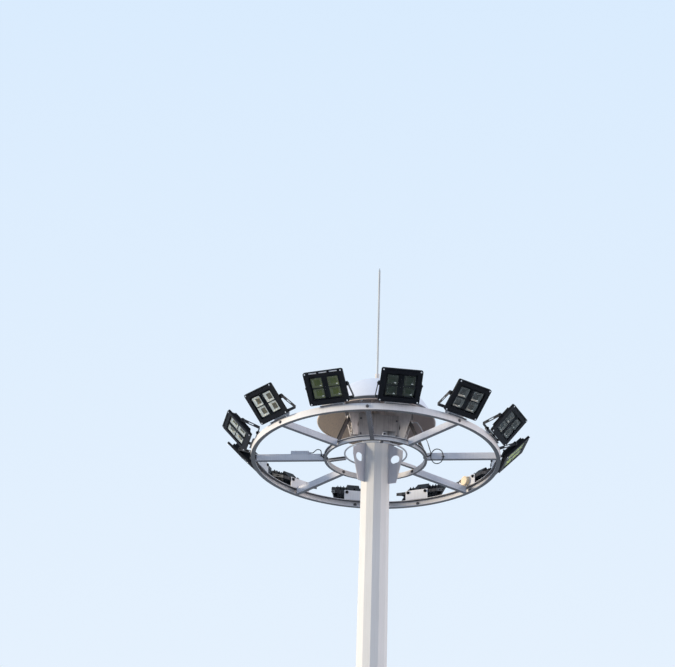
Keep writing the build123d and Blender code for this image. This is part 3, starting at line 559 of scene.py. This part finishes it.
# Lightning rod, a drawn stainless bar with a plain end.
# It stands in its socket on the hood and has no coat.
rod_steel = coat("rod_steel", (0.48, 0.50, 0.51), (0.40, 0.41, 0.42), (0.29, 0.29, 0.29), (0.4, 0.5),
                 metallic=0.3, shine=0.2)
dress(rod_steel, "lightning_rod")

# Hoist ropes, stranded zinc-coated wire: the strands wind round the rope as a fine thread.
# Swaged steel sleeves grip them just above their blocks.
rope_finish, rope_tree, rope_shader = new_finish("wire_rope")
rope_shader.inputs["Metallic"].default_value = 0.7
rope_place = rope_tree.nodes.new("ShaderNodeTexCoord")
rope_fit = rope_tree.nodes.new("ShaderNodeMapping")
rope_fit.inputs["Rotation"].default_value = (radians(35), 0, 0)
rope_wave = rope_tree.nodes.new("ShaderNodeTexWave")
rope_wave.bands_direction = "Z"
rope_wave.inputs["Scale"].default_value = 60
rope_tree.links.new(rope_place.outputs["Object"], rope_fit.inputs["Vector"])
rope_tree.links.new(rope_fit.outputs["Vector"], rope_wave.inputs["Vector"])
rope_tone = blend_colours(rope_tree, rope_wave.outputs["Fac"], (0.12, 0.12, 0.13), (0.55, 0.55, 0.57))
rope_tree.links.new(rope_tone, rope_shader.inputs["Base Color"])
rope_shader.inputs["Roughness"].default_value = 0.4
rope_relief = rope_tree.nodes.new("ShaderNodeBump")
rope_relief.inputs["Distance"].default_value = 0.001
rope_tree.links.new(rope_wave.outputs["Fac"], rope_relief.inputs["Height"])
rope_tree.links.new(rope_relief.outputs["Normal"], rope_shader.inputs["Normal"])
dress(rope_finish, "hoist_ropes")


def thicken(piece, thickness):
    """Gives a sheet a thickness, towards its back."""
    sheet = piece.modifiers.new("sheet", "SOLIDIFY")
    sheet.thickness = thickness
    sheet.offset = -1
    bpy.ops.object.modifier_apply(modifier="sheet")


bpy.ops.object.select_all(action="DESELECT")
sleeve_radius, sleeve_length, sleeve_foot = 0.0085, 0.045, ring_level + 0.368
bpy.ops.mesh.primitive_cylinder_add(vertices=16, radius=sleeve_radius, depth=sleeve_length, end_fill_type="NOTHING",
                                    location=(0, 0, sleeve_length / 2))
sleeve = bpy.context.object
bpy.ops.object.mode_set(mode="EDIT")
waist_cuts, waist = (0.018, 0.026), 0.86
for press in (0.010, *waist_cuts, 0.034):
    bpy.ops.mesh.select_all(action="SELECT")
    bpy.ops.mesh.bisect(plane_co=(0, 0, press), plane_no=(0, 0, 1))
    if press in waist_cuts:
        bpy.ops.transform.resize(value=(waist, waist, 1))
settle(sleeve)
thicken(sleeve, 0.0032)
rope_circle = 0.341
sleeve_places = [Matrix.Translation(round_mast(azimuth, rope_circle, sleeve_foot)) for azimuth in hanger_azimuths]
sleeve_steel = coat("sleeve_steel", (0.62, 0.60, 0.58), (0.48, 0.46, 0.45), (0.34, 0.31, 0.29), (0.3, 0.45),
                    metallic=0.6, patch_size=60.0)
copies(sleeve, "rope_sleeves", sleeve_places, "lamp_carriage", sleeve_steel)
forget(sleeve)

# Lamp carriage: rolled rings in near-white paint, spokes in a cooler grey.
# Both are darker underneath: painted shade, with some dirt.
# The hanger bars are welded on and painted near-black as painted shade; their blocks are pale and the guide hoop is
# bare zinc.
# A weathered bolt holds each spoke's end in each ring and each lamp mount's foot.
ring_paint = coat("ring_paint", (0.80, 0.78, 0.77), (0.71, 0.69, 0.69), (0.56, 0.53, 0.51), (0.36, 0.52),
                  amount=0.6, patch_size=5.0, streaks=0.25, shine=0.3, shade_and_dirt=(0.028, 0.028, 0.034))
dress(ring_paint, "outer_ring", "inner_ring", "hoop_arms", "rope_anchors", "lamp_mounts")
spoke_paint = coat("spoke_paint", (0.72, 0.72, 0.75), (0.62, 0.62, 0.66), (0.50, 0.48, 0.49), (0.36, 0.52),
                   amount=0.6, patch_size=5.0, streaks=0.25, shine=0.3, shade_and_dirt=(0.07, 0.07, 0.08))
dress(spoke_paint, "spokes")
# The hanger bars' near-black is painted shade, for the shadow they hang in.
hanger_shade_paint = coat("hanger_shade_paint", (0.045, 0.04, 0.042), (0.08, 0.07, 0.07), (0.16, 0.13, 0.11), (0.4, 0.6),
                    patch_size=12.0, shine=0.3)
dress(hanger_shade_paint, "hanger_arms")
hoop_zinc = coat("hoop_zinc", (0.52, 0.53, 0.56), (0.41, 0.42, 0.45), (0.31, 0.31, 0.32), (0.4, 0.6),
                 metallic=0.3, patch_size=14.0, shine=0.3)
dress(hoop_zinc, "guide_hoop")
ring_radius, ring_height, ring_wall = 1.210, 0.065, 0.005
inner_web_radius, inner_ring_height = 0.475, 0.050
spoke_azimuths = [radians(-1.5 + 45 * step) for step in range(8)]
lamp_count = 12
lamp_azimuths = [radians(12 + 360 / lamp_count * step) for step in range(lamp_count)]
ring_bolts = []
for azimuth in spoke_azimuths:
    outward = outward_at(azimuth)
    ring_bolts.append(stand(round_mast(azimuth, ring_radius, ring_level + ring_height / 2), outward))
    ring_bolts.append(stand(round_mast(azimuth, inner_web_radius, ring_level + inner_ring_height / 2), -outward))
for azimuth in lamp_azimuths:
    web = round_mast(azimuth, ring_radius - ring_wall, ring_level + ring_height / 2)
    ring_bolts.append(stand(web, -outward_at(azimuth)))
copies(bolt, "ring_bolts", ring_bolts, "lamp_carriage", bolt_finish)
hanger_start, hanger_end, hanger_side = 0.468, 0.496, 0.0185
inner_ring_top = ring_level + inner_ring_height
hanger_beads = []
for azimuth in hanger_azimuths:
    for side in (-hanger_side, hanger_side):
        hanger_beads += seam(round_mast(azimuth, hanger_start, inner_ring_top, side),
                             round_mast(azimuth, hanger_end, inner_ring_top, side))
copies(bead, "hanger_welds", hanger_beads, "lamp_carriage", ring_paint)
forget(bead)

# Cover strips, folded sheet painted with the spokes, that close the mouths of the three left ones.
# Each is held by three small screws.
bpy.ops.object.select_all(action="DESELECT")
strip_start, strip_end, strip_face, strip_lip = 0.508, 1.156, 0.0195, 0.008
strip_height, strip_thickness = 0.054, 0.0015
spoke_middle = ring_level + ring_height / 2
bpy.ops.mesh.primitive_plane_add(size=1, rotation=(-pi / 2, 0, 0),
                                 location=((strip_start + strip_end) / 2, strip_face, spoke_middle))
strip = bpy.context.object
bpy.ops.object.transform_apply(location=True, rotation=True)
bpy.ops.object.mode_set(mode="EDIT")
bpy.ops.mesh.select_all(action="SELECT")
bpy.ops.transform.resize(value=(strip_end - strip_start, 1, strip_height))
for side in (-1, 1):
    bpy.ops.mesh.select_mode(type="EDGE")
    bpy.ops.mesh.select_all(action="DESELECT")
    bpy.ops.object.mode_set(mode="OBJECT")
    for edge in strip.data.edges:
        ends = [strip.data.vertices[corner].co for corner in edge.vertices]
        edge.select = all(side * (end.z - spoke_middle) > 0.4 * strip_height
                          and end.y > strip_face - 0.001 for end in ends)
    bpy.ops.object.mode_set(mode="EDIT")
    bpy.ops.mesh.extrude_region_move(TRANSFORM_OT_translate={"value": (0, -strip_lip, 0)})
bpy.ops.object.mode_set(mode="OBJECT")
thicken(strip, strip_thickness)
strip_azimuths = spoke_azimuths[3:6]
copies(strip, "spoke_covers", [Matrix.Rotation(azimuth, 4, "Z") for azimuth in strip_azimuths], "lamp_carriage",
       spoke_paint)
forget(strip)

# A pan-head screw with a square socket
bpy.ops.object.select_all(action="DESELECT")
bpy.ops.mesh.primitive_cylinder_add(vertices=14, radius=0.0075, depth=0.004, location=(0, 0, 0.003))
screw = bpy.context.object
pick_faces(screw, lambda centre, normal: normal.z > 0.5)
bpy.ops.mesh.bevel(offset=0.0018, segments=2)
pick_faces(screw, lambda centre, normal: normal.z > 0.99)
bpy.ops.mesh.inset(thickness=0.0022)
bpy.ops.mesh.extrude_region_move(TRANSFORM_OT_translate={"value": (0, 0, -0.0015)})
settle(screw)
screw_finish = coat("screw_steel", (0.75, 0.75, 0.76), (0.6, 0.6, 0.62), (0.5, 0.48, 0.45), (0.25, 0.4),
                    metallic=0.8, patch_size=40.0)
strip_screw_radii, screw_sink = (0.57, 0.83, 1.10), 0.0006
strip_screws = []
for azimuth in strip_azimuths:
    for radius in strip_screw_radii:
        place = stand(round_mast(azimuth, radius, spoke_middle, strip_face - screw_sink), along_at(azimuth))
        strip_screws.append(place @ small)
copies(screw, "cover_screws", strip_screws, "lamp_carriage", screw_finish)

# Junction box on the left spoke and round box on a lamp mount, moulded plastic.
# Four small screws hold the junction box's flat lid, and four the round box's cover.
box_plastic = coat("junction_plastic", (0.58, 0.59, 0.64), (0.50, 0.51, 0.56), (0.38, 0.37, 0.38), (0.45, 0.6))
dress(box_plastic, "junction_box")
cream_plastic = coat("cream_plastic", (0.92, 0.72, 0.46), (0.82, 0.62, 0.40), (0.60, 0.46, 0.32), (0.4, 0.55),
                     patch_size=20.0, streaks=0.2)
dress(cream_plastic, "round_box")


def block(size, place):
    """Cuboid in edit mode with all of it selected."""
    bpy.ops.object.select_all(action="DESELECT")
    bpy.ops.mesh.primitive_cube_add(size=1, location=place)
    cuboid = bpy.context.object
    bpy.ops.object.mode_set(mode="EDIT")
    bpy.ops.mesh.select_all(action="SELECT")
    bpy.ops.transform.resize(value=size)
    return cuboid


junction_azimuth, junction_middle, junction_top = spoke_azimuths[4], 0.738, ring_level + ring_height + 0.034
junction_lid = block((0.164, 0.027, 0.0016), (junction_middle, 0, junction_top + 0.0006))
bpy.ops.mesh.bevel(offset=0.0005, segments=2)
settle(junction_lid)
copies(junction_lid, "junction_lid", [Matrix.Rotation(junction_azimuth, 4, "Z")], "lamp_carriage", box_plastic)
forget(junction_lid)
tiny = Matrix.Diagonal((0.45, 0.45, 0.45, 1))
box_screws = [
    stand(round_mast(junction_azimuth, junction_middle + 0.075 * end, junction_top + 0.0010, 0.009 * side),
          Vector((0, 0, 1))) @ tiny
    for end in (-1, 1) for side in (-1, 1)
]
round_azimuth, round_face, round_circle = lamp_azimuths[1], 1.123, 0.032
round_level = ring_level + ring_height + 0.048
round_inward = -outward_at(round_azimuth)
for step in range(4):
    turn = radians(45 + 90 * step)
    spot = round_mast(round_azimuth, round_face, round_level + round_circle * sin(turn), round_circle * cos(turn))
    box_screws.append(stand(spot - round_inward * 0.0005, round_inward) @ tiny)
copies(screw, "box_screws", box_screws, "lamp_carriage", screw_finish)

# Rubber-covered leads, matt black, and bleached grey on the supply lead's upper run.
# Clips screwed to the spokes hold them, and a tie where the supply lead meets itself.
lead_rubber = coat("lead_rubber", (0.022, 0.022, 0.025), (0.04, 0.04, 0.045), (0.07, 0.07, 0.07), (0.55, 0.75),
                   grain_size=1200.0, bump=0.1, patch_size=30.0, shine=0.3)
lead_tree = lead_rubber.node_tree
lead_shader = lead_tree.nodes["Principled BSDF"]
lead_place = lead_tree.nodes.new("ShaderNodeTexCoord")
lead_axes = lead_tree.nodes.new("ShaderNodeSeparateXYZ")
lead_tree.links.new(lead_place.outputs["Object"], lead_axes.inputs[0])
lead_bleached = contrast(lead_tree, lead_axes.outputs["Z"], ring_level + 0.12, ring_level + 0.17)
lead_tone = blend_colours(lead_tree, lead_bleached, lead_shader.inputs["Base Color"].links[0].from_socket,
                          (0.34, 0.35, 0.37))
lead_tree.links.new(lead_tone, lead_shader.inputs["Base Color"])
dress(lead_rubber, "box_lead", "supply_lead")


def clip(stand_off):
    """Clip over a lead: origin on the lead's axis, local y along it, its foot stand_off below."""
    bpy.ops.object.select_all(action="DESELECT")
    bpy.ops.mesh.primitive_cylinder_add(vertices=16, radius=0.0060, depth=0.010, rotation=(pi / 2, 0, 0))
    arch = bpy.context.object
    bpy.ops.object.transform_apply(rotation=True)
    bpy.ops.object.mode_set(mode="EDIT")
    bpy.ops.mesh.primitive_cube_add(size=1, location=(0, 0, -stand_off / 2), scale=(0.012, 0.010, stand_off))
    bpy.ops.mesh.bevel(offset=0.0004, segments=1)
    bpy.ops.mesh.primitive_cube_add(size=1, location=(0, 0, 0.00075 - stand_off), scale=(0.034, 0.010, 0.0015))
    bpy.ops.mesh.bevel(offset=0.0004, segments=1)
    settle(arch)
    return arch


def upright_clip(azimuth, radius, level, aside, outward):
    """Place of a clip on an upright run of lead, facing outward from a spoke's side."""
    across = Vector((0, 0, 1)).cross(outward)
    place = Matrix((across, Vector((0, 0, 1)), outward)).transposed().to_4x4()
    place.translation = round_mast(azimuth, radius, level, aside)
    return place


clip_nylon = coat("clip_nylon", (0.05, 0.05, 0.055), (0.035, 0.035, 0.04), (0.09, 0.09, 0.09), (0.4, 0.55),
                  patch_size=60.0, shine=0.4)
supply_azimuth = spoke_azimuths[0]
supply_side = -along_at(supply_azimuth)
supply_stand, supply_lead_aside = 0.0093, -0.0293
supply_clip = clip(supply_stand)
supply_clip_place = upright_clip(supply_azimuth, 0.6575, ring_level + 0.025, supply_lead_aside, supply_side)
copies(supply_clip, "supply_lead_clip", [supply_clip_place], "lamp_carriage", clip_nylon)
box_side = along_at(junction_azimuth)
box_stand, box_lead_aside = 0.0053, 0.0248
box_clip = clip(box_stand)
box_clip_place = upright_clip(junction_azimuth, 0.526, ring_level + 0.044, box_lead_aside, box_side)
copies(box_clip, "box_lead_clip", [box_clip_place], "lamp_carriage", clip_nylon)
clip_screws = [
    place @ Matrix.Translation((side * 0.012, 0, 0.0010 - foot)) @ tiny
    for place, foot in ((supply_clip_place, supply_stand), (box_clip_place, box_stand)) for side in (-1, 1)
]
copies(screw, "clip_screws", clip_screws, "lamp_carriage", screw_finish)
forget(supply_clip)
forget(box_clip)

# A tie: a flat loop of nylon with its lock
bpy.ops.object.select_all(action="DESELECT")
bpy.ops.mesh.primitive_torus_add(major_radius=0.0100, minor_radius=0.0011, major_segments=24, minor_segments=8)
tie = bpy.context.object
bpy.ops.object.mode_set(mode="EDIT")
bpy.ops.mesh.select_all(action="SELECT")
bpy.ops.transform.resize(value=(0.66, 1.22, 2.2))
bpy.ops.mesh.primitive_cube_add(size=1, location=(0.002, -0.0130, 0), scale=(0.006, 0.0035, 0.006))
bpy.ops.mesh.bevel(offset=0.0006, segments=2)
settle(tie)
tie_place = Matrix.Translation(round_mast(supply_azimuth, 0.5375, ring_level + 0.048, -0.0309))
copies(tie, "supply_lead_tie", [tie_place @ Matrix.Rotation(supply_azimuth, 4, "Z")], "lamp_carriage", clip_nylon)
forget(tie)

# Floodlights: die-cast housings and straps, black powder coat with a fine grain.
# Each has a clear pane, four reflector cups with a chip and a soldered tab, and four steel screws.
# The tabs' pale tin is a painted highlight, and the cups' and chips' tones are painted reflection.
# Two bolts hold each strap on its mount.
lamp_black = coat("lamp_black", (0.004, 0.005, 0.008), (0.009, 0.010, 0.013), (0.030, 0.031, 0.034), (0.5, 0.7),
                  grain_size=900.0, bump=0.3, streaks=0.2, shine=0.12)
lamp_glass, _, glass_shader = new_finish("lamp_glass")
glass_shader.inputs["Base Color"].default_value = (0.90, 0.92, 0.90, 1)
glass_shader.inputs["Transmission Weight"].default_value = 1.0
glass_shader.inputs["Roughness"].default_value = 0.02
glass_shader.inputs["IOR"].default_value = 1.03
strap_black = coat("strap_black", (0.012, 0.012, 0.014), (0.05, 0.05, 0.055), (0.16, 0.16, 0.17), (0.45, 0.65),
                   patch_size=14.0, streaks=0.5, shine=0.3)
dress(strap_black, "lamp_straps")
lamp_numbers = [f"{number:02d}" for number in range(1, lamp_count + 1)]
for number in lamp_numbers:
    dress(lamp_black, f"floodlight_{number}_housing")
    dress(lamp_glass, f"floodlight_{number}_glass")
strap_hole_side, strap_level, mount_inner_radius = 0.090, ring_level + ring_height + 0.078, 1.165
strap_bolts = []
for azimuth in lamp_azimuths:
    outward = outward_at(azimuth)
    for side in (-strap_hole_side, strap_hole_side):
        strap_bolts.append(stand(round_mast(azimuth, mount_inner_radius, strap_level, side), -outward))
        strap_bolts.append(stand(round_mast(azimuth, mount_inner_radius + 0.010, strap_level, side), outward))
copies(bolt, "strap_bolts", strap_bolts, "lamp_carriage", lamp_black)

lamp_tilt = radians(43.5)
lamp_face_radius = 1.370
lamp_face_level = ring_level + 0.182
module_across, module_up = 0.164, 0.107
module_width, module_height = 0.106, 0.096
pane_back = 0.0072
screw_across, screw_up = 0.360, 0.305


def lamp_frame(azimuth):
    """Place of a floodlight's face: local x runs across it, y up it and z out of it."""
    across = Vector((0, 1, 0))
    up = Vector((sin(lamp_tilt), 0, cos(lamp_tilt)))
    out_of = Vector((cos(lamp_tilt), 0, -sin(lamp_tilt)))
    face = Matrix((across, up, out_of)).transposed().to_4x4()
    face.translation = Vector((lamp_face_radius, 0, lamp_face_level))
    return Matrix.Rotation(azimuth, 4, "Z") @ face


# A reflector cup: a rounded frame drawn down in three steps to a flat seat for the chip
bpy.ops.object.select_all(action="DESELECT")
bpy.ops.mesh.primitive_plane_add(size=1, location=(0, 0, -pane_back))
cup = bpy.context.object
bpy.ops.object.mode_set(mode="EDIT")
bpy.ops.mesh.select_all(action="SELECT")
bpy.ops.transform.resize(value=(module_width, module_height, 1))
bpy.ops.mesh.bevel(offset=0.008, segments=3, affect="VERTICES")
bpy.ops.mesh.inset(thickness=0.004)
for drop, shrink in ((0.005, 0.93), (0.005, 0.86), (0.003, 0.76)):
    bpy.ops.mesh.extrude_region_move(TRANSFORM_OT_translate={"value": (0, 0, -drop)})
    bpy.ops.transform.resize(value=(shrink, shrink, 1))
settle(cup)
thicken(cup, 0.0006)

# A light chip: a bevelled square on the seat of each cup
chip_side, chip_height = 0.058, 0.0014
chip = block((chip_side, chip_side, chip_height), (0, 0, -pane_back - 0.013 + chip_height / 2))
pick_faces(chip, lambda centre, normal: normal.z > 0.5)
bpy.ops.mesh.inset(thickness=0.007)
bpy.ops.mesh.extrude_region_move(TRANSFORM_OT_translate={"value": (0, 0, 0.0008)})
bpy.ops.mesh.bevel(offset=0.0005, segments=2)
settle(chip)

# A soldered tab beside each chip, where its supply strips meet; its pale tin is a painted highlight at the cup's
# lower corner
tab = block((0.020, 0.008, 0.002), (0.031, -0.033, -pane_back - 0.011))
pick_faces(tab, lambda centre, normal: normal.z > 0.5)
bpy.ops.mesh.bevel(offset=0.0009, segments=2)
settle(tab)


def module_finish(name, colour, shine, metallic):
    """Cup or chip in one lamp's painted reflection tone, with small patches and a soft gloss."""
    worn = tuple(0.7 * part for part in colour)
    dark = tuple(0.5 * part for part in colour)
    return coat(name, colour, worn, dark, (0.14, 0.3), metallic=metallic, bump=0.03, patch_size=60.0,
                streaks=0.1, shine=shine)


# Cups and chips change tone from lamp to lamp as painted reflection: light where a lamp's cups
# would mirror sky, dark where they would mirror ground, tinted where they mirror the chips
module_reflection_tones = {
    "olive": ((0.13, 0.14, 0.080), (0.080, 0.095, 0.032)),
    "white": ((0.84, 0.79, 0.72), (0.17, 0.14, 0.10)),
    "lime": ((0.30, 0.38, 0.015), (0.42, 0.52, 0.015)),
    "forest": ((0.042, 0.048, 0.040), (0.026, 0.034, 0.024)),
    "grey": ((0.14, 0.14, 0.14), (0.06, 0.06, 0.062)),
}
lamp_reflection_tones = {"01": "lime", "07": "white", "08": "white", "10": "forest", "11": "grey", "12": "grey"}
cup_finishes, chip_finishes = {}, {}
for tone, (cup_colour, chip_colour) in module_reflection_tones.items():
    cup_shine, cup_metal = (0.1, 0.0) if tone == "lime" else (0.5, 0.35)
    cup_finishes[tone] = module_finish(f"cup_{tone}", cup_colour, cup_shine, cup_metal)
    chip_finishes[tone] = module_finish(f"chip_{tone}", chip_colour, 0.3, 0.0)
module_places = [
    Matrix.Translation((across * module_across / 2, up * module_up / 2, 0)) for across in (-1, 1) for up in (-1, 1)
]
screw_places = [
    Matrix.Translation((across * screw_across / 2, up * screw_up / 2, 0)) for across in (-1, 1) for up in (-1, 1)
]
# Pale tin on the tabs is a painted highlight.
tab_highlight_finish = coat("tab_tin_highlight", (0.86, 0.86, 0.84), (0.7, 0.7, 0.68), (0.5, 0.5, 0.48), (0.2, 0.35), metallic=0.5,
                  patch_size=60.0, streaks=0.1)
for number, azimuth in zip(lamp_numbers, lamp_azimuths):
    lamp = f"floodlight_{number}"
    face = lamp_frame(azimuth)
    on_modules = [face @ place for place in module_places]
    on_corners = [face @ place for place in screw_places]
    tone = lamp_reflection_tones.get(number, "olive")
    copies(cup, f"{lamp}_reflectors", on_modules, lamp, cup_finishes[tone])
    copies(chip, f"{lamp}_chips", on_modules, lamp, chip_finishes[tone])
    copies(screw, f"{lamp}_screws", on_corners, lamp, screw_finish)
    copies(tab, f"{lamp}_tabs", on_modules, lamp, tab_highlight_finish)

# The floors of one floodlight's three top grooves are pale metal: a painted highlight where they catch the light
groove_size, groove_floor, groove_level, groove_pitch = (0.078, 0.011, 0.0008), 0.006, 0.1525, 0.104
groove_highlight = block(groove_size, (0, groove_level, -groove_floor + groove_size[2] / 2))
bpy.ops.mesh.bevel(offset=0.0003, segments=1)
settle(groove_highlight)
groove_highlight_places = [Matrix.Translation((groove_pitch * step, 0, 0)) for step in (-1, 0, 1)]
groove_highlight_face = lamp_frame(lamp_azimuths[8])
groove_highlight_metal = coat("groove_highlight_metal", (0.80, 0.82, 0.84), (0.5, 0.51, 0.53), (0.25, 0.25, 0.26), (0.3, 0.5),
                  metallic=0.2, patch_size=60.0)
copies(groove_highlight, "floodlight_09_groove_highlights", [groove_highlight_face @ place for place in groove_highlight_places], "floodlight_09",
       groove_highlight_metal)
for model in (bolt, screw, cup, chip, tab, groove_highlight):
    forget(model)
